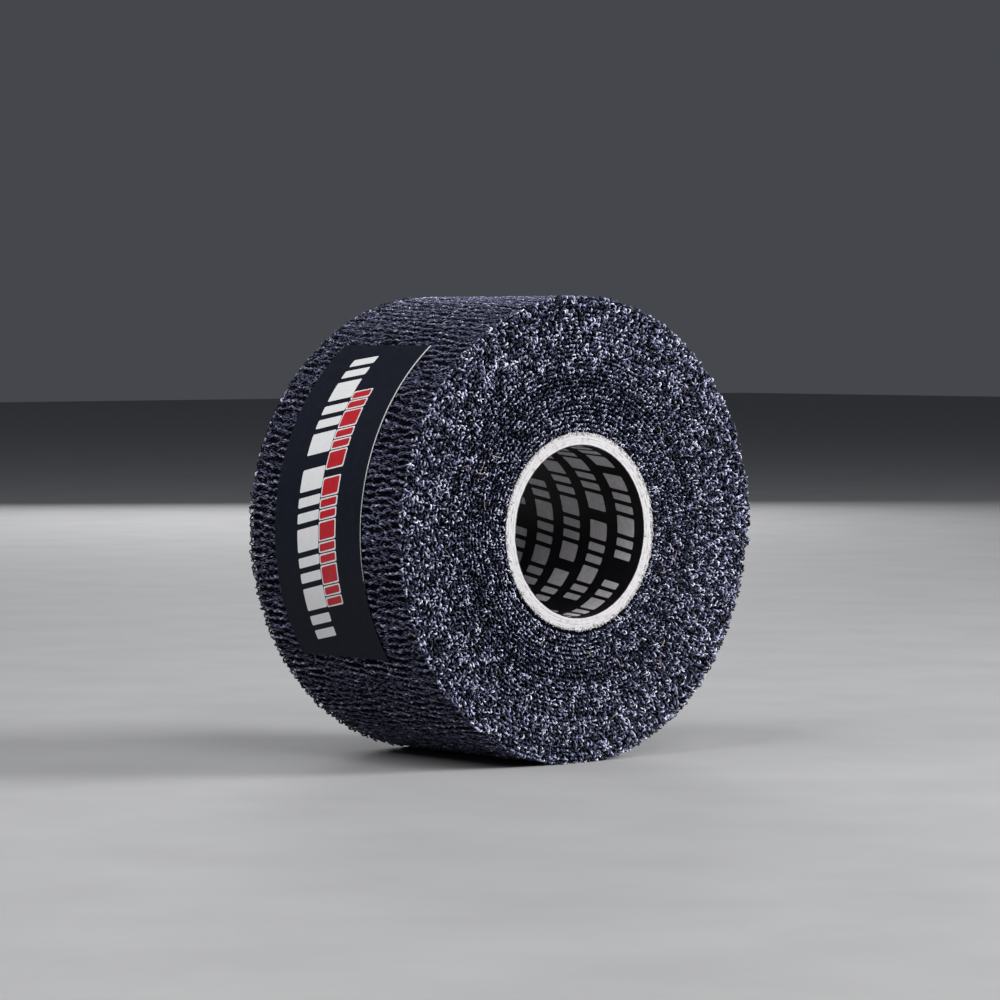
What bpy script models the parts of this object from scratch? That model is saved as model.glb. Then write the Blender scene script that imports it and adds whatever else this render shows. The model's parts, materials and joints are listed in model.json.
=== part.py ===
"""A roll of elastic grip tape: one long strip wound on a spiral-wound board core, with a paper label.

Metres, +Z up. The roll stands on its rim with its axis along Y, its label towards -X and the free end
of the tape towards +X. The origin is on the ground, under the middle of the roll.

Every piece is a sheet: a flat blank is creased at equal angles, rolled up along its winding, and
thickened outwards. All windings share the same crease angles, so their facets lie parallel and the
thin gaps between them stay open all round.
"""

import math

import bmesh
import bpy
from mathutils import Vector

MM = 0.001

# Driving dimensions
TAPE_WIDTH = 38.0 * MM
BORE_RADIUS = 13.8 * MM
CORE_RADIUS = 15.9 * MM
ROLL_RADIUS = 37.86 * MM  # at the outer end of the last turn, where the strip is cut for the free end
TURNS = 30
LABEL_LENGTH = 55.3 * MM
LABEL_WIDTH = 21.6 * MM
LABEL_TO_FRONT = 9.7 * MM  # from the label's front edge to the roll's front face
LABEL_TOP_ANGLE = 127.8  # degrees from +X towards +Z

# Sheets
LINER_THICKNESS = 0.15 * MM
LABEL_THICKNESS = 0.12 * MM
PLY_COUNT = 4
GLUE_GAP = 0.05 * MM  # between the core's plies, and under the label
TAPE_GAP = 0.055 * MM  # between one turn of tape and the next
TAPE_TO_CORE = 0.1 * MM

# The core's plies are wound at an angle, so each has a butt seam that winds round the core
SEAM_GAP = 0.2 * MM  # measured along the core's axis
SEAM_TWIST = 207.0  # degrees that a seam turns from the front face to the back
SEAM_STEP = 97.0  # degrees from one ply's seam to the next
LINER_SEAM_START = 200.0  # degrees clockwise from the first crease, at the front face

# Creases
CREASES = 36  # in one turn
FACET = math.radians(360 / CREASES)
FIRST_CREASE_ANGLE = math.radians(35.0)  # so that one facet is level at the bottom of the roll
BOTTOM_CREASE = 12  # the crease before that level facet, counted clockwise from the first
TAIL_FACETS = 4
TAIL_ROOT_GAP = 0.15 * MM
SAME_PLACE = 1e-6

HALF_WIDTH = TAPE_WIDTH / 2
HALF_FACET_COSINE = math.cos(FACET / 2)
TAPE_START_RADIUS = CORE_RADIUS / HALF_FACET_COSINE + TAPE_TO_CORE
TAPE_PITCH = (ROLL_RADIUS - TAPE_START_RADIUS + TAPE_GAP) / (TURNS + 1)
TAPE_THICKNESS = (TAPE_PITCH - TAPE_GAP) * HALF_FACET_COSINE
TAPE_END = TURNS * CREASES  # the crease at which the wound strip ends and the free end starts
REST_CREASE = TAPE_END - CREASES + BOTTOM_CREASE


def tape_radius(crease):
    """Distance from the roll's axis to the strip's inner face at a crease."""
    if crease in (REST_CREASE, REST_CREASE + 1):
        crease = REST_CREASE + 0.5  # the facet that the roll rests on is level
    return TAPE_START_RADIUS + TAPE_PITCH * crease / CREASES


AXIS_HEIGHT = tape_radius(REST_CREASE) * HALF_FACET_COSINE + TAPE_THICKNESS


def constant(radius):
    """A winding whose radius is the same at every crease."""
    return lambda crease: radius


def label_radius(crease):
    """Distance from the roll's axis to the label's under side at a crease."""
    return tape_radius(crease) + (TAPE_THICKNESS + GLUE_GAP) / HALF_FACET_COSINE


def crease_point(crease, radius_at):
    """A crease's place in the XZ plane. Creases are counted clockwise as seen from the front, -Y."""
    angle = FIRST_CREASE_ANGLE - crease * FACET
    radius = radius_at(crease)
    return Vector((radius * math.cos(angle), 0.0, AXIS_HEIGHT + radius * math.sin(angle)))


def wound_point(place, across, radius_at):
    """A point of a rolled-up blank. Its place along the winding is in facets, and facets are flat."""
    crease = math.floor(place + SAME_PLACE)
    start = crease_point(crease, radius_at)
    end = crease_point(crease + 1, radius_at)
    point = start.lerp(end, place - crease)
    point.y = across
    return point


def facet_length(crease, radius_at):
    return (crease_point(crease + 1, radius_at) - crease_point(crease, radius_at)).length


def new_material(name, colour, roughness):
    material = bpy.data.materials.new(name)
    material.use_nodes = True
    shader = material.node_tree.nodes["Principled BSDF"]
    shader.inputs["Base Color"].default_value = (*colour, 1.0)
    shader.inputs["Roughness"].default_value = roughness
    shader.inputs["Metallic"].default_value = 0.0
    material.diffuse_color = (*colour, 1.0)
    return material


def roll_sheet(name, outline, radius_at, thickness, material):
    """Crease a flat blank, roll it up and thicken it outwards.

    The outline is a list of (place, across) corners, anticlockwise: place is in facets along the
    winding, and across is along Y in metres.
    """
    blank = bmesh.new()
    blank.faces.new([blank.verts.new((place, across, 0.0)) for place, across in outline])
    first = math.floor(min(place for place, across in outline)) + 1
    last = math.ceil(max(place for place, across in outline))
    for crease in range(first, last):
        bmesh.ops.bisect_plane(
            blank,
            geom=blank.verts[:] + blank.edges[:] + blank.faces[:],
            dist=SAME_PLACE,
            plane_co=(crease, 0.0, 0.0),
            plane_no=(1.0, 0.0, 0.0),
        )
    for vertex in blank.verts:
        place = vertex.co.x
        if abs(place - round(place)) < 1e-3:
            place = round(place)
        vertex.co = wound_point(place, vertex.co.y, radius_at)
    mesh = bpy.data.meshes.new(name)
    blank.to_mesh(mesh)
    blank.free()
    mesh.materials.append(material)
    sheet = bpy.data.objects.new(name, mesh)
    parts.objects.link(sheet)
    solid = sheet.modifiers.new("Thickness", "SOLIDIFY")
    solid.thickness = thickness
    solid.offset = 1.0
    solid.use_even_offset = True
    solid.use_quality_normals = True
    return sheet


def strip_outline(start, end, low, high):
    return [(start, low), (end, low), (end, high), (start, high)]


def seamed_outline(start):
    """A blank that goes once round the core and meets itself at a slanted butt seam."""
    twist = math.radians(SEAM_TWIST) / FACET
    gap = SEAM_GAP / TAPE_WIDTH * twist
    return [
        (start, -HALF_WIDTH),
        (start + CREASES - gap, -HALF_WIDTH),
        (start + CREASES - gap + twist, HALF_WIDTH),
        (start + twist, HALF_WIDTH),
    ]


def make_core():
    """Printed paper liner, and board plies around it with their seams staggered."""
    liner_paper = new_material("liner_paper", (0.012, 0.012, 0.015), 0.5)
    board = new_material("white_board", (0.78, 0.76, 0.73), 0.85)
    seam_start = math.radians(LINER_SEAM_START) / FACET
    roll_sheet("core_liner", seamed_outline(seam_start), constant(BORE_RADIUS), LINER_THICKNESS, liner_paper)
    first_ply_radius = BORE_RADIUS + LINER_THICKNESS / HALF_FACET_COSINE + GLUE_GAP
    ply_pitch = (CORE_RADIUS + GLUE_GAP - first_ply_radius) / PLY_COUNT
    ply_thickness = (ply_pitch - GLUE_GAP) * HALF_FACET_COSINE
    for number in range(PLY_COUNT):
        seam_start += math.radians(SEAM_STEP) / FACET
        radius = first_ply_radius + number * ply_pitch
        name = f"core_ply_{number + 1}"
        roll_sheet(name, seamed_outline(seam_start), constant(radius), ply_thickness, board)


def make_tape():
    """The wound strip, and its free end that can be lifted off the roll."""
    cloth = new_material("crepe_cloth", (0.02, 0.021, 0.027), 0.9)
    outline = strip_outline(0, TAPE_END, -HALF_WIDTH, HALF_WIDTH)
    roll_sheet("tape_strip", outline, tape_radius, TAPE_THICKNESS, cloth)
    root = TAPE_END + TAIL_ROOT_GAP / facet_length(TAPE_END, tape_radius)
    outline = strip_outline(root, TAPE_END + TAIL_FACETS, -HALF_WIDTH, HALF_WIDTH)
    tail = roll_sheet("tape_tail", outline, tape_radius, TAPE_THICKNESS, cloth)
    place_origin_on_hinge(tail, root)


def place_origin_on_hinge(tail, root):
    """The free end bends about the outer corner of its root, on a line along Y."""
    inner_corner = wound_point(root, 0.0, tape_radius)
    along = wound_point(root + 0.5, 0.0, tape_radius) - inner_corner
    outwards = along.cross(Vector((0.0, 1.0, 0.0))).normalized()
    hinge = inner_corner + outwards * TAPE_THICKNESS
    for vertex in tail.data.vertices:
        vertex.co -= hinge
    tail.location = hinge


def make_label():
    """A paper label on the outermost turn."""
    paper = new_material("label_paper", (0.01, 0.011, 0.014), 0.35)
    clockwise_to_top = FIRST_CREASE_ANGLE + math.radians(360 - LABEL_TOP_ANGLE)
    end = TAPE_END - CREASES + clockwise_to_top / FACET
    start = end - LABEL_LENGTH / facet_length(math.floor(end), label_radius)
    low = LABEL_TO_FRONT - HALF_WIDTH
    outline = strip_outline(start, end, low, low + LABEL_WIDTH)
    roll_sheet("label", outline, label_radius, LABEL_THICKNESS, paper)


for leftover in list(bpy.data.objects):
    bpy.data.objects.remove(leftover)
parts = bpy.data.collections.new("grip_tape_roll")
bpy.context.scene.collection.children.link(parts)
make_core()
make_tape()
make_label()
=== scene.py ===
"""Looks of the grip tape roll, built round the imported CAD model.

Metres, +Z up, in the CAD's own frame. The roll's axis runs along Y and its front side looks to -Y.
A place on the roll is a turn, the angle clockwise from the root of the tape's free end as seen from the
front, with a radius from the roll's axis and a distance across, along Y. The last turn of the wound
strip lies from -360 degrees to 0, and the free end goes on from 0 over the start of that turn.
"""

import json
import math

import bmesh
import bpy
import numpy as np
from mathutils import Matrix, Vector


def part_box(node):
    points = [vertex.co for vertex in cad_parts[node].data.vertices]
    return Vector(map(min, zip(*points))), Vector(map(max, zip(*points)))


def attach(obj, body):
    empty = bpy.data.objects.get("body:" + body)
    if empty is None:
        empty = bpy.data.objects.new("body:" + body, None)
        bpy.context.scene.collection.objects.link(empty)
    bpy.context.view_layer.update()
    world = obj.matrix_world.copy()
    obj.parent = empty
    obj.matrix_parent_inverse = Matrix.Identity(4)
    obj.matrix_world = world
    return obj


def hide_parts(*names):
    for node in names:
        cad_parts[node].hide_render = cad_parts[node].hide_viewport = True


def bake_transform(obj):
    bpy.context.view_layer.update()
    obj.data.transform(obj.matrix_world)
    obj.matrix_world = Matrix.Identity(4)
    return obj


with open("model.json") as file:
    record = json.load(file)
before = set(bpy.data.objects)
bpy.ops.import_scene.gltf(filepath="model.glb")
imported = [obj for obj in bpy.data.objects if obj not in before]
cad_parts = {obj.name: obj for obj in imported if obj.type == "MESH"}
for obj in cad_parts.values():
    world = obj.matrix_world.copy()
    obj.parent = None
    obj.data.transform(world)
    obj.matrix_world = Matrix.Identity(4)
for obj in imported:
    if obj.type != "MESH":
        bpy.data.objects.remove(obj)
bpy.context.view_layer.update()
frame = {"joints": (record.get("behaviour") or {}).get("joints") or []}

MM = 0.001
FULL_TURN = 2 * math.pi
FRONT, BACK = -1, 1
dice = np.random.default_rng(7)

# Sizes read from the CAD
_, strip_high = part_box("tape_strip")
liner_low, liner_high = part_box("core_liner")
label_low, label_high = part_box("label")
AXIS_HEIGHT = (liner_low.z + liner_high.z) / 2
HALF_WIDTH = strip_high.y
hinge = Vector(frame["joints"][0]["pos_m"])
ROOT_RADIUS = math.hypot(hinge.x, hinge.z - AXIS_HEIGHT)
ROOT_ANGLE = math.atan2(hinge.z - AXIS_HEIGHT, hinge.x)

# Tape
TAPE_PITCH = 0.705 * MM  # from one turn to the next
TAPE_THICKNESS = 0.65 * MM
FLOOR_CLEARANCE = 0.02 * MM

# The dark ground under the yarns
GROUND_DEPTH = 0.43 * MM  # below the tape's face
GROUND_COLUMNS = 360
EDGE_DEPTH = 0.5 * MM  # behind the tape's cut edges
EDGE_RIPPLE = 0.12 * MM  # one wave for each turn of the strip
EDGE_ROUGHNESS = 0.03 * MM

# Yarns of the tape's face
YARN_PITCH = 0.27 * MM
YARN_RADIUS = 0.122 * MM
YARN_POINTS = 122
YARN_SWAY = 0.17 * MM
YARN_SWELL = 0.13 * MM
YARN_LIFT = 0.05 * MM  # how far a yarn on a ridge stands out of the tape's face
LOWEST_RISE = -0.37 * MM  # from the place of a yarn on a ridge
HIGHEST_RISE = 0.12 * MM
THINNING_RISE = -0.2 * MM  # yarns that lie lower get thinner, down to a quarter
EDGE_DROP = 0.3 * MM
EDGE_DROP_WIDTH = 0.9 * MM
KINK_WAVES = (15, 25, 37)  # across the tape
RIDGE_PITCH = 1.45 * MM
RIDGE_HEIGHT = 0.3 * MM
RIDGE_WAVES = 30
RIDGE_LENGTHS = (5 * MM, 18 * MM)  # across the tape, before they fade into the next
BUNCHING = 0.19 * MM  # how far yarns lean towards the nearest ridge
FACE_PARTS = 4
FACE_GLINTS = 750
FIRST_GLINT_TURN = 0.72 - FULL_TURN  # clear of the free end
GLINT_TRIES = 12
GLINT_LENGTHS = (0.15 * MM, 0.42 * MM)  # half of each length
GLINT_RADIUS = 0.1 * MM

# Loops of the tape's cut edges
LOOP_SPACING = 0.3 * MM
LOOP_POINTS = 6
LOOP_LENGTHS = (0.6 * MM, 1.15 * MM)
LOOP_RADII = (0.085 * MM, 0.12 * MM)
LOOP_TOP = 0.2 * MM  # a loop's top lies up to this far over or under the side face
LOOP_FOOT = -0.6 * MM
LOOP_LEAN = 0.28 * MM  # outwards, at the top
# The brightest tone is partly yarn that is lighter, partly a painted highlight: light caught on black
# filaments
LOOP_TONES = ([0.3, 0.55, 0.85], [0.34, 0.34, 0.32])  # tones and their shares
FINE_RADIUS, FULL_RADIUS = 18 * MM, 34 * MM  # loops get fuller from the first to the second
# Radius and spread of darker and lighter rings, and how far each shifts the loops' tone
TONE_RINGS = ((23.6 * MM, 0.9 * MM, -0.17), (31 * MM, 0.8 * MM, 0.07), (15.9 * MM, 1.6 * MM, 0.12))
STRAGGLE = (-0.2 * MM, 0.7 * MM)  # how far loops may reach past the tape's face
EDGE_BANDS = 4
OUTER_LOOP_RADIUS = ROOT_RADIUS - TAPE_THICKNESS / 2
STRAY_FIBRES = 26
STRAY_RADII = (19 * MM, 33 * MM)  # where they lie
STRAY_LENGTHS = (0.5 * MM, 1.1 * MM)  # half of each length
STRAY_THICKNESS = 0.055 * MM
PATCH_COUNT = 14
PATCH_SIZES = (1.8 * MM, 6 * MM)

# Free end
TAIL_LENGTH = 26.1 * MM
TAIL_TURN = TAIL_LENGTH / ROOT_RADIUS
TAIL_INSET = 0.3  # millimetres from the cloth to the ends of its yarns
TAIL_STEP = 0.25
TAIL_ROWS = np.arange(-18, 18.1, 1.5)
TAIL_GLINTS = 82

# Core
BORE_RADIUS = 13.8 * MM
LINER_THICKNESS = 0.15 * MM
CORE_RADIUS = 15.9 * MM
PLY_COUNT = 4
PLY_GAP = 0.01 * MM
SEAM_TWIST = math.radians(207)  # a seam winds this far clockwise from the front side to the back
SEAM_GAP = 0.2 * MM
FIRST_PLY_SEAM = math.radians(40)
PLY_SEAM_STEP = math.radians(97)
LINER_SEAM_TURN = math.radians(200)
PLY_ROUGHNESS = 0.045 * MM  # of the cut ends
LINER_ROUGHNESS = 0.01 * MM
TUBE_COLUMNS = 120
END_ROUNDING = 0.08 * MM
END_CUT_BACK = 0.03  # share of a tube's thickness, at both faces
BOARD_FUZZ = 700
FUZZ_LENGTHS = (0.1 * MM, 0.3 * MM)
FUZZ_RADII = (0.04 * MM, 0.075 * MM)
FUZZ_PROFILE = np.array([0.5, 1, 1.2, 1, 0.5])
FUZZ_PLACE = (-0.12 * MM, 0.14 * MM)  # mean and spread, from the board's outer face
FUZZ_HEIGHT = 0.16 * MM
SHARP_EDGE = math.radians(40)

# Label
LABEL_LENGTH = 55.3 * MM
LABEL_TOP_ANGLE = math.radians(127.8)
LABEL_START = ROOT_ANGLE - LABEL_TOP_ANGLE - LABEL_LENGTH / ROOT_RADIUS  # its lower end
LABEL_END = LABEL_START + LABEL_LENGTH / ROOT_RADIUS
LABEL_LIFT = 0.02 * MM
PAPER_THICKNESS = 0.1 * MM
INK_THICKNESS = 0.016 * MM
WHITE_MIDDLE = label_high.y - 8.45 * MM
RED_MIDDLE = label_high.y - 13.35 * MM
WHITE_BARS = (3.5, 48.65, 5.3, -1.1)  # start, length, height and slant of the row, in millimetres
RED_BARS = (9.6, 35.55, 3.75, -0.8)
OUTLINE_WIDTH = 0.24  # millimetres

# A row's bars, in proportion, with 0 for the space between its two groups
BAR_WIDTHS = (1.3, 1.3, 3.0, 1.3, 1.3, 3.0, 1.3, 1.3, 3.0, 0, 3.0, 1.3, 1.3, 3.0, 1.3, 1.3)
BAR_GAP = 0.75
GROUP_GAP = 1.2
PRINT_STEP = 0.4  # millimetres

# Print in the bore
LINER_ROWS = 6
ROW_PITCH = 6.6 * MM
ROW_START = 4.2 * MM  # from the front side to the middle of the first row
ROW_HEIGHT = 4.0  # millimetres, as are the next three
ROW_LENGTH = 39.2
ROW_SLANT = -0.7
ROW_MARGIN = 0.4  # to the roll's back side
ROW_SHIFT = math.radians(36)
FIRST_ROW_TURN = math.radians(73.7)
ROWS_ROUND = 2


def place(turn, radius, across):
    """Points on the roll, as an array that ends in x, y, z."""
    angle = ROOT_ANGLE - turn
    x = radius * np.cos(angle)
    z = AXIS_HEIGHT + radius * np.sin(angle)
    return np.stack(np.broadcast_arrays(x, across, z), axis=-1)


def surface_radius(turn):
    """The outer face of the tape, which grows by one pitch each turn."""
    return ROOT_RADIUS + TAPE_PITCH * turn / FULL_TURN


# ---------------------------------------------------------------- materials

def new_material(name, **values):
    """A material with its Principled BSDF's own values set. Returns the material, its nodes and links."""
    material = bpy.data.materials.new(name)
    material.use_nodes = True
    shader = material.node_tree.nodes["Principled BSDF"]
    for socket, value in values.items():
        shader.inputs[socket.replace("_", " ")].default_value = value
    return material, material.node_tree.nodes, material.node_tree.links


def noise(nodes, links, scale, detail=2.0, stretch=(1, 1, 1)):
    """A noise texture over the object's own coordinates, longer along the axes with a small stretch."""
    coordinates = nodes.new("ShaderNodeTexCoord")
    mapping = nodes.new("ShaderNodeMapping")
    mapping.inputs["Scale"].default_value = stretch
    texture = nodes.new("ShaderNodeTexNoise")
    texture.inputs["Scale"].default_value = scale
    texture.inputs["Detail"].default_value = detail
    links.new(coordinates.outputs["Object"], mapping.inputs["Vector"])
    links.new(mapping.outputs["Vector"], texture.inputs["Vector"])
    return texture.outputs["Fac"]


def math_node(nodes, links, operation, first, second):
    node = nodes.new("ShaderNodeMath")
    node.operation = operation
    for socket, value in zip(node.inputs, (first, second)):
        if isinstance(value, (int, float)):
            socket.default_value = value
        else:
            links.new(value, socket)
    return node.outputs["Value"]


def ramp(nodes, links, factor, stops):
    """A colour ramp with stops as (position, colour)."""
    node = nodes.new("ShaderNodeValToRGB")
    elements = node.color_ramp.elements
    while len(elements) < len(stops):
        elements.new(0.5)
    for element, (position, color) in zip(elements, stops):
        element.position = position
        element.color = (*color, 1)
    links.new(factor, node.inputs["Fac"])
    return node.outputs["Color"]


def bump(nodes, links, height, distance, strength=1.0):
    node = nodes.new("ShaderNodeBump")
    node.inputs["Distance"].default_value = distance
    node.inputs["Strength"].default_value = strength
    links.new(height, node.inputs["Height"])
    links.new(node.outputs["Normal"], nodes["Principled BSDF"].inputs["Normal"])


STREAKS = 0.8  # how far streaks shift a yarn's tone, from end to end


def yarn_material(name, stops, roughness):
    """Twisted yarn, coloured by the tone that its mesh carries, with streaks along it."""
    material, nodes, links = new_material(name, Roughness=roughness, Specular_IOR_Level=0.25)
    tone = nodes.new("ShaderNodeAttribute")
    tone.attribute_name = "tone"
    streaks = noise(nodes, links, 1100, 2.0, (1, 0.6, 1))
    shift = math_node(nodes, links, "MULTIPLY_ADD", streaks, STREAKS)
    shift.node.inputs[2].default_value = -STREAKS / 2
    factor = math_node(nodes, links, "ADD", tone.outputs["Fac"], shift)
    color = ramp(nodes, links, factor, stops)
    links.new(color, nodes["Principled BSDF"].inputs["Base Color"])
    twist = noise(nodes, links, 6000, 1.0)
    bump(nodes, links, twist, 0.05 * MM, 0.6)
    return material


LOOP_STOPS = [
    (0.0, (0.0008, 0.0013, 0.004)), (0.35, (0.0075, 0.010, 0.027)), (0.6, (0.070, 0.078, 0.146)),
    (0.85, (0.39, 0.41, 0.59)), (1.0, (0.80, 0.82, 0.96)),
]
FACE_STOPS = [
    (0.0, (0.0006, 0.0009, 0.0025)), (0.35, (0.0105, 0.0115, 0.027)), (0.7, (0.115, 0.118, 0.20)),
    (0.92, (0.29, 0.295, 0.43)), (1.0, (0.72, 0.74, 0.92)),
]
STRAY_STOPS = [(0.0, (0.36, 0.20, 0.20)), (0.6, (0.50, 0.36, 0.31)), (1.0, (0.66, 0.60, 0.48))]
loop_yarn = yarn_material("loop_yarn", LOOP_STOPS, 0.5)
stray_fibre = yarn_material("stray_fibre", STRAY_STOPS, 0.5)
face_yarn = yarn_material("face_yarn", FACE_STOPS, 0.5)


def speckled_material(
        name, stops, scale, roughness, bump_scale, bump_distance, stretch=(1, 1, 1), shine=0.5):
    """A surface whose colour wanders between the stops, with a fine bump."""
    material, nodes, links = new_material(name, Roughness=roughness, Specular_IOR_Level=shine)
    color = ramp(nodes, links, noise(nodes, links, scale, 4.0, stretch), stops)
    links.new(color, nodes["Principled BSDF"].inputs["Base Color"])
    bump(nodes, links, noise(nodes, links, bump_scale, 3.0, stretch), bump_distance)
    return material


ground_cloth = speckled_material(
    "ground_cloth", [(0.35, (0.0006, 0.0009, 0.0024)), (0.7, (0.0028, 0.0036, 0.008))], 1500, 0.9, 2500,
    0.1 * MM, (1, 0.3, 1), shine=0.05)
adhesive = speckled_material(
    "adhesive", [(0.35, (0.012, 0.012, 0.013)), (0.65, (0.035, 0.034, 0.034))], 700, 0.38, 1400, 0.08 * MM,
    (1, 0.5, 1))
white_board = speckled_material(
    "white_board", [(0.25, (0.33, 0.31, 0.30)), (0.42, (0.52, 0.505, 0.515)), (0.7, (0.57, 0.555, 0.565))],
    1300, 0.75, 3000, 0.03 * MM)
label_black = speckled_material(
    "label_black", [(0.3, (0.0085, 0.0105, 0.018)), (0.7, (0.012, 0.0145, 0.024))], 900, 0.5, 5000,
    0.006 * MM, shine=0.1)
label_white = speckled_material(
    "label_white", [(0.3, (0.86, 0.86, 0.88)), (0.7, (0.92, 0.92, 0.93))], 900, 0.4, 5000, 0.006 * MM)
label_red = speckled_material(
    "label_red", [(0.3, (0.52, 0.012, 0.022)), (0.7, (0.60, 0.018, 0.03))], 900, 0.4, 5000, 0.006 * MM)
label_paper = speckled_material(
    "label_paper", [(0.3, (0.74, 0.73, 0.74)), (0.7, (0.84, 0.83, 0.84))], 2500, 0.7, 5000, 0.01 * MM)
liner_black = speckled_material(
    "liner_black", [(0.3, (0.003, 0.003, 0.004)), (0.7, (0.006, 0.006, 0.007))], 600, 0.45, 3500,
    0.008 * MM, shine=0.15)
liner_print = speckled_material(
    "liner_print", [(0.3, (0.50, 0.48, 0.50)), (0.7, (0.64, 0.62, 0.64))], 1500, 0.42, 3500, 0.008 * MM)


# ---------------------------------------------------------------- meshes

def add_piece(name, mesh, material, sharp=None):
    """An object for a mesh, with its material."""
    piece = bpy.data.objects.new(name, mesh)
    bpy.context.scene.collection.objects.link(piece)
    mesh.materials.append(material)
    mesh.shade_smooth()
    if sharp is not None:
        mesh.set_sharp_from_angle(angle=sharp)
    return piece


def flat_shape(outline, step, rows=()):
    """A flat shape, cut across its length at every step so that it can bend round the roll, and at the rows.

    The outline's points are (along, across) in millimetres, anticlockwise. Returns the shape's points in
    metres, its faces, and its border as pairs of points.
    """
    flat = bmesh.new()
    flat.faces.new([flat.verts.new((along, across, 0)) for along, across in outline])
    alongs = [point[0] for point in outline]
    cuts = [((along, 0, 0), (1, 0, 0)) for along in np.arange(min(alongs) + step, max(alongs), step)]
    cuts += [((0, across, 0), (0, 1, 0)) for across in rows]
    for point, normal in cuts:
        everything = flat.verts[:] + flat.edges[:] + flat.faces[:]
        bmesh.ops.bisect_plane(flat, geom=everything, dist=1e-5, plane_co=point, plane_no=normal)
    flat.verts.index_update()
    points = np.array([vertex.co[:2] for vertex in flat.verts]) * MM
    faces = [[vertex.index for vertex in face.verts] for face in flat.faces]
    border = [
        (edge.link_loops[0].link_loop_next.vert.index, edge.link_loops[0].vert.index)
        for edge in flat.edges if edge.is_boundary]
    flat.free()
    return points, faces, border


def bent(shape, turn, across, reference, low, high):
    """A flat shape bent round the roll into a closed plate, with its origin at that turn and distance across.

    It keeps its length at the reference radius. low and high give its inner and outer radius for any turn
    and distance across.
    """
    points, faces, border = shape
    turns = turn + points[:, 0] / reference
    acrosses = across + points[:, 1]
    size = len(points)
    vertices = np.concatenate([
        place(turns, high(turns, acrosses), acrosses), place(turns, low(turns, acrosses), acrosses)])
    under = [[size + index for index in reversed(face)] for face in faces]
    walls = [[first, second, second + size, first + size] for first, second in border]
    return vertices, faces + under + walls


def joined(name, bodies):
    """One mesh from several closed bodies, each given as vertices and faces."""
    vertices, faces, start = [], [], 0
    for body_vertices, body_faces in bodies:
        vertices.append(body_vertices)
        faces += [[start + index for index in face] for face in body_faces]
        start += len(body_vertices)
    mesh = bpy.data.meshes.new(name)
    mesh.from_pydata(np.concatenate(vertices).tolist(), [], faces)
    return mesh


def unit(vectors):
    return vectors / np.maximum(np.linalg.norm(vectors, axis=-1, keepdims=True), 1e-12)


def tubes(name, paths, radii, tones, sides=3):
    """One mesh of closed tubes. paths is (yarns, points, 3), and radii and tones are (yarns, points)."""
    count, points, _ = paths.shape
    tangents = unit(np.gradient(paths, axis=1))
    normal = unit(np.cross(tangents[:, 0], dice.normal(size=(count, 3))))
    spin = np.arange(sides) * FULL_TURN / sides
    rings = np.empty((count, points, sides, 3))
    for i in range(points):
        tangent = tangents[:, i]
        normal = unit(normal - (normal * tangent).sum(axis=-1, keepdims=True) * tangent)
        side = np.cross(tangent, normal)
        spokes = np.cos(spin)[:, None] * normal[:, None] + np.sin(spin)[:, None] * side[:, None]
        rings[:, i] = paths[:, i, None] + radii[:, i, None, None] * spokes
    rings[..., 2] = np.maximum(rings[..., 2], FLOOR_CLEARANCE)

    index = np.arange(count * points * sides).reshape(count, points, sides)
    turned = np.roll(index, -1, axis=2)
    quads = np.stack([index[:, :-1], turned[:, :-1], turned[:, 1:], index[:, 1:]], axis=-1).reshape(-1, 4)
    caps = np.concatenate([index[:, 0, ::-1], index[:, -1]])
    corners = np.concatenate([quads.ravel(), caps.ravel()])
    starts = np.concatenate([
        np.arange(len(quads)) * 4,
        len(quads) * 4 + np.arange(len(caps)) * sides,
    ])
    mesh = bpy.data.meshes.new(name)
    mesh.vertices.add(rings.size // 3)
    mesh.vertices.foreach_set("co", rings.ravel())
    mesh.loops.add(len(corners))
    mesh.loops.foreach_set("vertex_index", corners.astype(np.int32))
    mesh.polygons.add(len(starts))
    mesh.polygons.foreach_set("loop_start", starts.astype(np.int32))
    mesh.update(calc_edges=True)
    tone = mesh.attributes.new("tone", "FLOAT", "POINT")
    tones = np.broadcast_to(tones, (count, points))
    tone.data.foreach_set("value", np.repeat(tones.ravel(), sides).astype(np.float32))
    lay_out_yarns(mesh, corners, count, points, sides)
    return mesh


def lay_out_yarns(mesh, corners, count, points, sides):
    """The yarns' UV map for baking: a grid with a cell for each yarn."""
    margin = 0.08
    cells = math.ceil(math.sqrt(count))
    yarn, rest = np.divmod(corners, points * sides)
    point, side = np.divmod(rest, sides)
    row, column = np.divmod(yarn, cells)
    u = (column + margin + (1 - 2 * margin) * point / (points - 1)) / cells
    v = (row + margin + (1 - 2 * margin) * side / (sides - 1)) / cells
    layer = mesh.uv_layers.new(name="OFBake")
    layer.uv.foreach_set("vector", np.stack([u, v], axis=-1).ravel().astype(np.float32))


# ---------------------------------------------------------------- core

def wound_tube(inner, outer, seam_turn, roughness):
    """A strip wound round the bore edge to edge, with a seam that winds along it and worn ends."""
    length = (FULL_TURN * inner - SEAM_GAP) / MM
    twist = SEAM_TWIST * inner / MM
    half = HALF_WIDTH / MM
    outline = [(0, -half), (length, -half), (length + twist, half), (twist, half)]
    worn = END_ROUNDING / MM
    points, faces, border = flat_shape(outline, length / TUBE_COLUMNS, [worn - half, half - worn])
    end = np.abs(points[:, 1]) > HALF_WIDTH - 0.1 * END_ROUNDING
    points[end, 1] += dice.uniform(-roughness, roughness, end.sum())

    def cut_back(across):
        depth = np.clip(1 - (HALF_WIDTH - np.abs(across)) / END_ROUNDING, 0, 1)
        return END_CUT_BACK * (outer - inner) * depth ** 2

    return bent(
        (points, faces, border), seam_turn, 0, inner,
        lambda turn, across: inner + cut_back(across), lambda turn, across: outer - cut_back(across))


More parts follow.
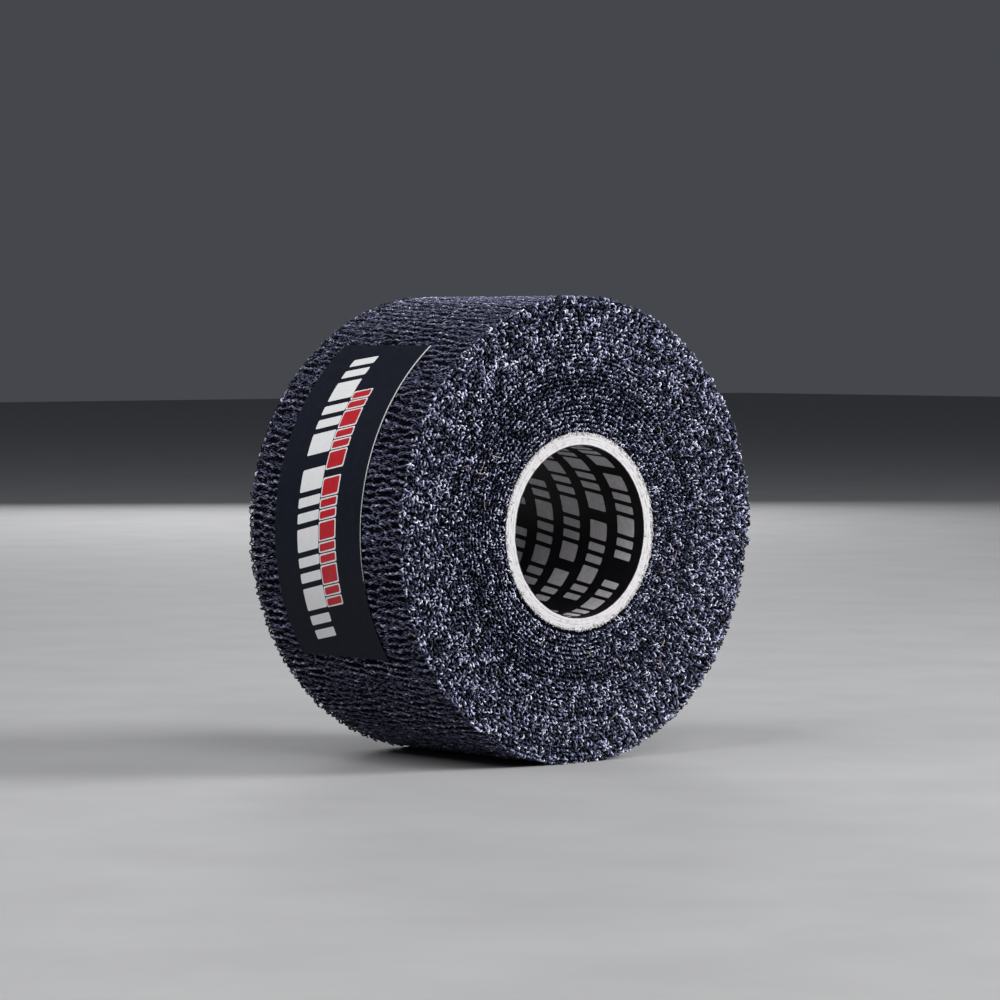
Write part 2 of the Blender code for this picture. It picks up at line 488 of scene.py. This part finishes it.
def make_core():
    wall = (CORE_RADIUS - BORE_RADIUS - LINER_THICKNESS - PLY_GAP) / PLY_COUNT
    for number in range(PLY_COUNT):
        inner = BORE_RADIUS + LINER_THICKNESS + PLY_GAP + number * wall
        name = f"board_ply_{number + 1}"
        seam = FIRST_PLY_SEAM + number * PLY_SEAM_STEP
        strip = wound_tube(inner, inner + wall - PLY_GAP, seam, PLY_ROUGHNESS)
        ply = add_piece(name, joined(name, [strip]), white_board, SHARP_EDGE)
        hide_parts(f"core_ply_{number + 1}")
        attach(ply, "roll")
    strip = wound_tube(BORE_RADIUS, BORE_RADIUS + LINER_THICKNESS, LINER_SEAM_TURN, LINER_ROUGHNESS)
    liner = joined("printed_liner", [strip])
    liner = add_piece("printed_liner", liner, liner_black, SHARP_EDGE)
    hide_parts("core_liner")
    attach(liner, "roll")


def make_board_fuzz():
    """Torn paper fibres along the outer edge of the board's cut ends."""
    for side, side_name in ((FRONT, "front"), (BACK, "back")):
        count, t = BOARD_FUZZ, np.linspace(-1, 1, 5)
        turn = dice.uniform(0, FULL_TURN, (count, 1))
        heading = dice.uniform(0, FULL_TURN, (count, 1))
        length = dice.uniform(*FUZZ_LENGTHS, (count, 1))
        start = CORE_RADIUS + dice.normal(*FUZZ_PLACE, (count, 1))
        radius = start + length * t * np.cos(heading)
        along = length * (t * np.sin(heading) + dice.normal(0, 0.4, (count, 1)) * t ** 2)
        rise = dice.uniform(0, FUZZ_HEIGHT, (count, 1)) * (1 - t ** 2) - 0.02 * MM
        paths = place(turn + along / radius, radius, side * (HALF_WIDTH + rise))
        radii = dice.uniform(*FUZZ_RADII, (count, 1)) * FUZZ_PROFILE
        name = f"board_fuzz_{side_name}"
        fuzz = add_piece(name, tubes(name, paths, radii, np.zeros((count, 1))), white_board)
        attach(fuzz, "roll")


# ---------------------------------------------------------------- print

def bar_outline(width, height, slant, corner=0.3, steps=4):
    """A slanted bar with round corners, about its middle, in millimetres, with its width along the roll."""
    low, high = -height / 2, height / 2
    left, right = -width / 2, width / 2
    square = ((left, low), (right, low), (right, high), (left, high))
    corners = [Vector((x + slant * y / height, y)) for x, y in square]
    outline = []
    for i, tip in enumerate(corners):
        before = tip + (corners[i - 1] - tip).normalized() * corner
        after = tip + (corners[(i + 1) % 4] - tip).normalized() * corner
        for step in range(steps + 1):
            t = step / steps
            outline.append(before * (1 - t) ** 2 + tip * 2 * t * (1 - t) + after * t ** 2)
    return [tuple(point) for point in outline]


def row_of_bars(start, length):
    """Middle and width of each bar in a row of that length, in millimetres."""
    bars, along = [], 0
    for width in BAR_WIDTHS:
        if width == 0:
            along += GROUP_GAP
            continue
        bars.append((along + width / 2, width))
        along += width + BAR_GAP
    scale = length / (along - BAR_GAP)
    return [(start + middle * scale, width * scale) for middle, width in bars]


def make_liner_print():
    """Rows of plain bars round the bore. Each row starts further round than the one in front of it."""
    bodies = []
    for row in range(LINER_ROWS):
        middle = ROW_START + row * ROW_PITCH - HALF_WIDTH
        height = min(ROW_HEIGHT, 2 * (HALF_WIDTH - middle) / MM - ROW_MARGIN)
        bars = row_of_bars(0, ROW_LENGTH)
        shapes = {width: flat_shape(bar_outline(width, height, ROW_SLANT), PRINT_STEP) for _, width in bars}
        for group in range(ROWS_ROUND):
            start = FIRST_ROW_TURN + row * ROW_SHIFT + group * FULL_TURN / ROWS_ROUND
            for along, width in bars:
                bodies.append(bent(
                    shapes[width], start + along * MM / BORE_RADIUS, middle, BORE_RADIUS,
                    lambda turn, across: np.full_like(turn, BORE_RADIUS - INK_THICKNESS),
                    lambda turn, across: np.full_like(turn, BORE_RADIUS + INK_THICKNESS)))
    piece = add_piece("liner_print", joined("liner_print", bodies), liner_print, SHARP_EDGE)
    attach(piece, "roll")


# ---------------------------------------------------------------- label

def label_radius(turn):
    """The back of the label."""
    return surface_radius(turn) + LABEL_LIFT


def label_layer(outline, along, across, bottom, top):
    """A layer of the label between two heights above its back. along runs up from its lower end."""
    step = 0.5
    return bent(
        flat_shape(outline, step), LABEL_START + along * MM / ROOT_RADIUS, across, ROOT_RADIUS,
        lambda turn, _: label_radius(turn) + bottom, lambda turn, _: label_radius(turn) + top)


def label_bars(row, across, bottom, top, margin=0):
    """A row of bars, each wider by the margin on every side."""
    start, length, height, slant = row
    return [
        label_layer(bar_outline(width + 2 * margin, height + 2 * margin, slant), along, across, bottom, top)
        for along, width in row_of_bars(start, length)]


def make_label():
    """Paper whose white cut edge shows along the front, a black print on it, and two rows of plain bars."""
    length, width = LABEL_LENGTH / MM, (label_high.y - label_low.y) / MM
    face = PAPER_THICKNESS
    ink = INK_THICKNESS
    paper = label_layer([(0, 0), (length, 0), (length, width), (0, width)], 0, label_low.y, 0, face)
    wrap = 0.03  # how far the print reaches round the paper's edges
    print_edge = [(-wrap, -0.08), (length + wrap, 0.24), (length + wrap, width + wrap), (-wrap, width + wrap)]
    layers = [
        ("label_body", label_paper, [paper]),
        ("label_ground", label_black, [label_layer(print_edge, 0, label_low.y, ink, face + ink)]),
        ("label_white_bars", label_white, label_bars(WHITE_BARS, WHITE_MIDDLE, face, face + 2 * ink)),
        ("label_outlines", label_white, label_bars(
            RED_BARS, RED_MIDDLE, face, face + 3 * ink, OUTLINE_WIDTH)),
        ("label_red_bars", label_red, label_bars(RED_BARS, RED_MIDDLE, face, face + 4 * ink)),
    ]
    for name, material, bodies in layers:
        piece = add_piece(name, joined(name, bodies), material, SHARP_EDGE)
        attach(piece, "roll")
        if name == "label_body":
            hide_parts("label")


# ---------------------------------------------------------------- wound strip

def ground_radius(turn):
    return surface_radius(turn) - GROUND_DEPTH


def make_ground():
    """The dark ground under the yarns: the wound strip as one closed body, with a step where it ends."""
    columns = GROUND_COLUMNS
    turns = np.linspace(-FULL_TURN, 0, columns + 1)
    last_ring = ground_radius(-FULL_TURN) - 0.1 * MM
    circles = np.arange(CORE_RADIUS + 0.03 * MM, last_ring, TAPE_PITCH / 4)
    sides = []
    for side in (FRONT, BACK):
        radius, turn = np.meshgrid(circles, turns[:-1], indexing="ij")
        phase = FULL_TURN * (radius - surface_radius(turn)) / TAPE_PITCH
        depth = EDGE_DEPTH - EDGE_RIPPLE * np.cos(phase) + dice.normal(0, EDGE_ROUGHNESS, phase.shape)
        depth *= np.clip((radius - CORE_RADIUS) / (0.8 * MM), 0.2, 1)
        inner = place(turn, radius, side * (HALF_WIDTH - depth)).reshape(-1, 3)
        outer = place(turns, ground_radius(turns), side * (HALF_WIDTH - EDGE_DEPTH))
        sides.append(np.concatenate([inner, outer]))
    vertices = np.concatenate(sides)
    vertices[:, 2] = np.maximum(vertices[:, 2], FLOOR_CLEARANCE)

    rings, side_size = len(circles), len(sides[0])
    faces = []

    def at(side, ring, column):
        """Index of a vertex. The ring past the circles is the outer edge, which doesn't close."""
        if ring < rings:
            column %= columns
        return side * side_size + ring * columns + column

    for column in range(columns):
        for ring in range(rings - 1):
            cell = [(ring, column), (ring, column + 1), (ring + 1, column + 1), (ring + 1, column)]
            faces.append([at(0, *corner) for corner in cell])
            faces.append([at(1, *corner) for corner in reversed(cell)])
        cell = [(rings - 1, column), (rings - 1, column + 1), (rings, column + 1), (rings, column)]
        if column == columns - 1:
            cell.insert(2, (rings, 0))
        faces.append([at(0, *corner) for corner in cell])
        faces.append([at(1, *corner) for corner in reversed(cell)])
        rim = [(0, rings, column), (0, rings, column + 1), (1, rings, column + 1), (1, rings, column)]
        hole = [(1, 0, column), (1, 0, column + 1), (0, 0, column + 1), (0, 0, column)]
        faces.append([at(*corner) for corner in rim])
        faces.append([at(*corner) for corner in hole])
    faces.append([at(0, rings, columns), at(0, rings, 0), at(1, rings, 0), at(1, rings, columns)])
    mesh = bpy.data.meshes.new("tape_ground")
    mesh.from_pydata(vertices.tolist(), [], faces)
    ground = add_piece("tape_ground", mesh, ground_cloth)
    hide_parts("tape_strip")
    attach(ground, "roll")


def ridge_field(waves=RIDGE_WAVES):
    """Random ridges across the tape. Returns functions for their height, about -1 to 1, and slope."""
    along = FULL_TURN / RIDGE_PITCH * dice.uniform(0.7, 1.35, waves)
    across = FULL_TURN / dice.uniform(*RIDGE_LENGTHS, waves) * dice.choice([-1, 1], waves)
    phase = dice.uniform(0, FULL_TURN, waves)
    size = math.sqrt(2 / waves) * 0.55

    def angles(s, y):
        return s[..., None] * along + y[..., None] * across + phase

    def height(s, y):
        return size * np.cos(angles(s, y)).sum(axis=-1)

    def slope(s, y):
        return -size * np.sin(angles(s, y)).sum(axis=-1)

    return height, slope


ridge_height, ridge_slope = ridge_field()


def face_yarns(name, first_turn, last_turn, face_radius, pressed=None):
    """Crinkled yarns that lie side by side across the tape, bunched into ridges."""
    count = round((last_turn - first_turn) * ROOT_RADIUS / YARN_PITCH)
    points = YARN_POINTS
    along = (first_turn + (last_turn - first_turn) * (np.arange(count) + 0.5) / count)[:, None] * ROOT_RADIUS
    along, across = np.broadcast_arrays(along, np.linspace(-1, 1, points) * (HALF_WIDTH - 0.15 * MM))
    ridge = np.clip(ridge_height(along, across), -2, 1)
    wander = kinks(count, points)
    shift = BUNCHING * ridge_slope(along, across) + YARN_SWAY * wander[0]
    edge = np.clip((np.abs(across) - HALF_WIDTH + EDGE_DROP_WIDTH) / EDGE_DROP_WIDTH, 0, 1)
    rise = RIDGE_HEIGHT * (ridge - 0.7) + YARN_SWELL * wander[1] - EDGE_DROP * edge ** 2
    rise = np.clip(rise, LOWEST_RISE, HIGHEST_RISE)
    sunk = np.clip((THINNING_RISE - rise) / (THINNING_RISE - LOWEST_RISE), 0, 1)
    turn = (along + shift) / ROOT_RADIUS
    radius = face_radius(turn) - YARN_RADIUS + YARN_LIFT + rise
    if pressed is not None:
        radius = pressed(turn, across, radius)
    radii = YARN_RADIUS * (1 + 0.2 * wander[2]) * (1 - 0.75 * sunk)
    radii[:, [0, -1]] *= 0.4
    # Painted highlight and shade: a yarn is lighter where it rises on a ridge or swells up, darker where it
    # sinks between ridges
    tones = dice.normal(0.54, 0.07, (count, 1)) + 0.15 * ridge + 0.2 * wander[1]
    return tubes(name, place(turn, radius, across), radii, np.clip(tones, 0, 0.93))


def kinks(count, points):
    """Three sets of small smooth random waves along each yarn."""
    steps = np.linspace(0, FULL_TURN, points)
    result = np.zeros((3, count, points))
    for waves in KINK_WAVES:
        phase = dice.uniform(0, FULL_TURN, (3, count, 1))
        result += np.sin(waves * dice.uniform(0.8, 1.2, (3, count, 1)) * steps + phase)
    return result / math.sqrt(len(KINK_WAVES))


def near_label(turn, across, turn_margin, across_margin):
    near = (turn > LABEL_START - turn_margin) & (turn < LABEL_END + turn_margin)
    return near & (across > label_low.y - across_margin) & (across < label_high.y + across_margin)


def press_label(turn, across, radius):
    """The label holds the yarns under it down."""
    under = near_label(turn, across, 0.01, 0.3 * MM)
    return np.where(under, np.minimum(radius, surface_radius(turn) - YARN_RADIUS - 0.08 * MM), radius)


def glints(name, count, first_turn, last_turn, face_radius):
    """Short floats where a filament of the crepe lies on top, with a painted glint: their bright tone stands
    in for light caught on them. Each takes the highest of a few places.
    """
    turn = dice.uniform(first_turn, last_turn, (count, GLINT_TRIES))
    across = dice.uniform(-1, 1, (count, GLINT_TRIES)) * (HALF_WIDTH - 0.8 * MM)
    best = ridge_height(turn * ROOT_RADIUS, across).argmax(axis=1)
    pick = np.arange(count)
    turn, across = turn[pick, best], across[pick, best]
    clear = ~near_label(turn, across, 0.02, 0.5 * MM)
    turn, across = turn[clear], across[clear]
    count = len(turn)
    t = np.linspace(-1, 1, 5)
    length = dice.uniform(*GLINT_LENGTHS, (count, 1))
    lean = dice.normal(0, 0.12 * MM, (count, 1))
    radius = face_radius(turn)[:, None] - 0.02 * MM - 0.1 * MM * t ** 2
    paths = place(turn[:, None] + lean * t / ROOT_RADIUS, radius, across[:, None] + length * t)
    radii = np.full((count, len(t)), GLINT_RADIUS) * dice.uniform(0.8, 1.25, (count, 1))
    radii[:, [0, -1]] *= 0.45
    # Painted glint: a bright tone that stands in for light caught on each float
    return tubes(name, paths, radii, dice.uniform(0.85, 1.15, (count, 1)))


# ---------------------------------------------------------------- looped edges

def edge_loops(name, side, turn, radius, face_radius):
    """Loops of yarn that stand out of a cut edge of the tape, one for each place given."""
    count, t = len(turn), np.linspace(-1, 1, LOOP_POINTS)
    turn, radius = turn[:, None], radius[:, None]
    fullness = np.clip((radius - FINE_RADIUS) / (FULL_RADIUS - FINE_RADIUS), 0, 1)
    patch = edge_patches(turn, radius)
    length = dice.uniform(*LOOP_LENGTHS, (count, 1)) * (0.75 + 0.42 * fullness)
    heading = dice.uniform(0, FULL_TURN, (count, 1))
    wiggle = dice.uniform(0, 0.1, (count, 1)) * np.sin(math.pi * t + dice.uniform(0, FULL_TURN, (count, 1)))
    forward = length / 2 * t
    sideways = length * (dice.normal(0, 0.25, (count, 1)) * (t ** 2 - 0.4) + wiggle)
    arch = (1 - t ** 2) ** 0.8
    out = forward * np.cos(heading) - sideways * np.sin(heading) + LOOP_LEAN * arch
    along = forward * np.sin(heading) + sideways * np.cos(heading)
    top = dice.uniform(-LOOP_TOP, LOOP_TOP, (count, 1)) * (0.75 + 0.5 * fullness) + 0.03 * MM * patch
    rise = (1 - arch) * LOOP_FOOT + arch * top + dice.normal(0, 0.03 * MM, (count, LOOP_POINTS))
    least, most = STRAGGLE
    outermost = face_radius(turn) + least + (most - least) * dice.uniform(0, 1, (count, 1)) ** 2
    distance = np.clip(radius + out, CORE_RADIUS - 0.2 * MM, outermost)
    paths = place(turn + along / distance, distance, side * (HALF_WIDTH + rise))
    radii = dice.uniform(*LOOP_RADII, (count, 1)) * (0.95 + 0.5 * fullness) * (0.55 + 0.45 * arch)
    levels, shares = LOOP_TONES
    tones = dice.choice(levels, (count, 1), p=shares) + dice.normal(0, 0.08, (count, 1))
    for middle, spread, tone in TONE_RINGS:
        tones = tones + tone * np.exp(-((radius - middle) / spread) ** 2)
    # Painted shade: a loop darkens towards its feet, where it dives between the others, and its top stays
    # lighter
    tones = tones + 0.05 * patch + 0.04 * (1 - fullness) - 0.5 * (1 - arch)
    return tubes(name, paths, radii, tones)


def edge_patches(turn, radius):
    """A slow random swell over the cut edges, about -2 to 2, that sets tighter and looser patches."""
    x, z = radius * np.cos(turn), radius * np.sin(turn)
    swell = np.zeros_like(x)
    for heading, wavelength, phase in PATCH_WAVES:
        swell += np.cos(FULL_TURN * (x * math.cos(heading) + z * math.sin(heading)) / wavelength + phase)
    return swell * math.sqrt(2 / len(PATCH_WAVES))


# Heading, wavelength and phase of each wave
PATCH_WAVES = np.stack([
    dice.uniform(0, FULL_TURN, PATCH_COUNT),
    dice.uniform(*PATCH_SIZES, PATCH_COUNT),
    dice.uniform(0, FULL_TURN, PATCH_COUNT),
], axis=-1)


def strip_places(first_radius, last_radius):
    """Places for loops along the middle of the wound strip's edge, between two radii."""
    turns = (last_radius - first_radius) / TAPE_PITCH
    mean = (first_radius + last_radius) / 2
    count = round(turns * FULL_TURN * mean / LOOP_SPACING)
    radius = np.sqrt(np.linspace(first_radius ** 2, last_radius ** 2, count))
    turn = FULL_TURN * (radius - OUTER_LOOP_RADIUS) / TAPE_PITCH + dice.normal(0, 0.006, count)
    return turn, radius + dice.normal(0, 0.1 * MM, count)


def outermost_radius(turn):
    """The tape's outer face in the last turn, at the same angle."""
    return surface_radius(turn % FULL_TURN - FULL_TURN)


def make_edge_loops():
    """The loops of both side faces, in bands with the same number of loops."""
    bounds = np.sqrt(np.linspace((CORE_RADIUS + 0.12 * MM) ** 2, OUTER_LOOP_RADIUS ** 2, EDGE_BANDS + 1))
    for side, side_name in ((FRONT, "front"), (BACK, "back")):
        for band in range(EDGE_BANDS):
            turn, radius = strip_places(bounds[band], bounds[band + 1])
            name = f"{side_name}_edge_loops_{band + 1}"
            mesh = edge_loops(name, side, turn, radius, outermost_radius)
            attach(add_piece(name, mesh, loop_yarn), "roll")


def make_stray_fibres():
    """A few loose pinkish and cream fibres caught in the looped edges."""
    for side, side_name in ((FRONT, "front"), (BACK, "back")):
        count, t = STRAY_FIBRES, np.linspace(-1, 1, 9)
        radius = dice.uniform(*STRAY_RADII, (count, 1))
        turn = dice.uniform(0, FULL_TURN, (count, 1))
        heading = dice.uniform(0, FULL_TURN, (count, 1))
        length = dice.uniform(*STRAY_LENGTHS, (count, 1))
        curl = dice.normal(0, 0.35, (count, 1)) * length * t ** 2
        out = length * t * np.cos(heading) - curl * np.sin(heading)
        along = length * t * np.sin(heading) + curl * np.cos(heading)
        rise = dice.uniform(0.08 * MM, 0.2 * MM, (count, 1)) * (1 - t ** 4) - 0.1 * MM * t ** 4
        paths = place(turn + along / radius, radius + out, side * (HALF_WIDTH + rise))
        radii = np.full((count, len(t)), STRAY_THICKNESS) * (1 - 0.5 * t ** 2)
        name = f"stray_fibres_{side_name}"
        mesh = tubes(name, paths, radii, dice.uniform(0, 1, (count, 1)))
        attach(add_piece(name, mesh, stray_fibre), "roll")


def make_wound_yarns():
    """The yarns of the last turn, in a few pieces, and its glints."""
    for number in range(FACE_PARTS):
        first, last = ((number + end) / FACE_PARTS * FULL_TURN - FULL_TURN for end in (0, 1))
        name = f"face_yarns_{number + 1}"
        mesh = face_yarns(name, first, last, surface_radius, press_label)
        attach(add_piece(name, mesh, face_yarn), "roll")
    mesh = glints("face_glints", FACE_GLINTS, FIRST_GLINT_TURN, 0, surface_radius)
    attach(add_piece("face_glints", mesh, loop_yarn), "roll")


# ---------------------------------------------------------------- free end

def tail_bend(piece):
    """Moves the placement of a piece of the free end into its mesh."""
    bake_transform(piece)


def tail_layer(name, end, low_depth, high_depth, material):
    """A layer of the free end between two depths below its face. It starts 1 mm inside the roll."""
    start, half = -1, HALF_WIDTH / MM - TAIL_INSET
    outline = [(start, -half), (end, -half), (end, half), (start, half)]
    body = bent(
        flat_shape(outline, TAIL_STEP, TAIL_ROWS), 0, 0, ROOT_RADIUS,
        lambda turn, _: surface_radius(turn) - low_depth, lambda turn, _: surface_radius(turn) - high_depth)
    return add_piece(name, joined(name, [body]), material, SHARP_EDGE)


def make_tail():
    """The free end: dark ground, adhesive film, yarns, glints and looped edges."""
    end = TAIL_LENGTH / MM - TAIL_INSET
    cloth = tail_layer("tail_cloth", end, TAPE_THICKNESS - 0.06 * MM, GROUND_DEPTH, ground_cloth)
    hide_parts("tape_tail")
    glue = tail_layer(
        "tail_adhesive", end + 0.2, TAPE_THICKNESS - 0.03 * MM, TAPE_THICKNESS - 0.07 * MM, adhesive)
    yarns = face_yarns("tail_yarns", 0, TAIL_TURN, surface_radius)
    yarns = add_piece("tail_yarns", yarns, face_yarn)
    sparkle = glints("tail_glints", TAIL_GLINTS, 0.02, TAIL_TURN - 0.02, surface_radius)
    sparkle = add_piece("tail_glints", sparkle, loop_yarn)
    edges = []
    for side, side_name in ((FRONT, "front"), (BACK, "back")):
        count = round(TAIL_LENGTH / LOOP_SPACING * 1.3)
        turn = dice.uniform(0, TAIL_TURN, count)
        radius = surface_radius(turn) - 0.3 * MM + dice.normal(0, 0.12 * MM, count)
        name = f"tail_{side_name}_loops"
        mesh = edge_loops(name, side, turn, radius, surface_radius)
        edges.append(add_piece(name, mesh, loop_yarn))
    pieces = [glue, yarns, sparkle, *edges]
    for piece in [cloth, *pieces]:
        tail_bend(piece)


# ---------------------------------------------------------------- studio

def aim(thing, place_at, target):
    thing.location = place_at
    thing.rotation_euler = (Vector(target) - Vector(place_at)).to_track_quat("-Z", "Y").to_euler()


def make_camera():
    """Looks from the front left, nearly level, with the roll a little below the middle of the picture."""
    azimuth, elevation = math.radians(-41.04), math.radians(2.73)
    distance = 656.5 * MM
    aim_up, aim_left = 4.48 * MM, 0.47 * MM
    level = math.cos(elevation)
    back = Vector((math.sin(azimuth) * level, -math.cos(azimuth) * level, math.sin(elevation)))
    right = Vector((math.cos(azimuth), math.sin(azimuth), 0))
    up = back.cross(right)
    middle = Vector((0, 0, AXIS_HEIGHT))
    camera = bpy.data.objects.new("camera", bpy.data.cameras.new("camera"))
    camera.data.lens = 144
    camera.data.sensor_width = 36
    bpy.context.scene.collection.objects.link(camera)
    aim(camera, middle + distance * back, middle + aim_up * up - aim_left * right)
    bpy.context.scene.camera = camera


def area_light(name, place_at, size, power):
    lamp = bpy.data.lights.new(name, "AREA")
    lamp.shape = "RECTANGLE"
    lamp.size, lamp.size_y = size
    lamp.energy = power
    light = bpy.data.objects.new(name, lamp)
    bpy.context.scene.collection.objects.link(light)
    aim(light, place_at, (0, 0, AXIS_HEIGHT))


def make_studio():
    """A plain floor, four soft lights and a dim sky."""
    mesh = bpy.data.meshes.new("floor")
    reach = 3.0
    corners = [(-reach, -reach, 0), (reach, -reach, 0), (reach, reach, 0), (-reach, reach, 0)]
    mesh.from_pydata(corners, [], [(0, 1, 2, 3)])
    floor = bpy.data.objects.new("floor", mesh)
    bpy.context.scene.collection.objects.link(floor)
    material, nodes, links = new_material("floor", Roughness=0.8)
    tones = [(0.3, (0.31, 0.31, 0.315)), (0.7, (0.34, 0.34, 0.345))]
    color = ramp(nodes, links, noise(nodes, links, 40, 3.0), tones)
    links.new(color, nodes["Principled BSDF"].inputs["Base Color"])
    mesh.materials.append(material)
    world = bpy.data.worlds.new("studio")
    world.use_nodes = True
    world.node_tree.nodes["Background"].inputs["Color"].default_value = (0.74, 0.79, 0.92, 1)
    world.node_tree.nodes["Background"].inputs["Strength"].default_value = 0.08
    bpy.context.scene.world = world
    area_light("key", (0.6, -0.5, 0.34), (0.35, 0.35), 10.5)
    area_light("front_top", (-0.15, -0.5, 0.5), (0.35, 0.25), 1.6)
    area_light("top", (-0.42, 0.0, 0.55), (0.5, 0.5), 2.8)
    area_light("back_fill", (0.55, 0.75, 0.28), (0.4, 0.4), 2.2)
    bpy.context.scene.view_settings.view_transform = "Standard"


make_camera()
make_studio()
make_core()
make_board_fuzz()
make_liner_print()
make_ground()
make_wound_yarns()
make_edge_loops()
make_stray_fibres()
make_label()
make_tail()
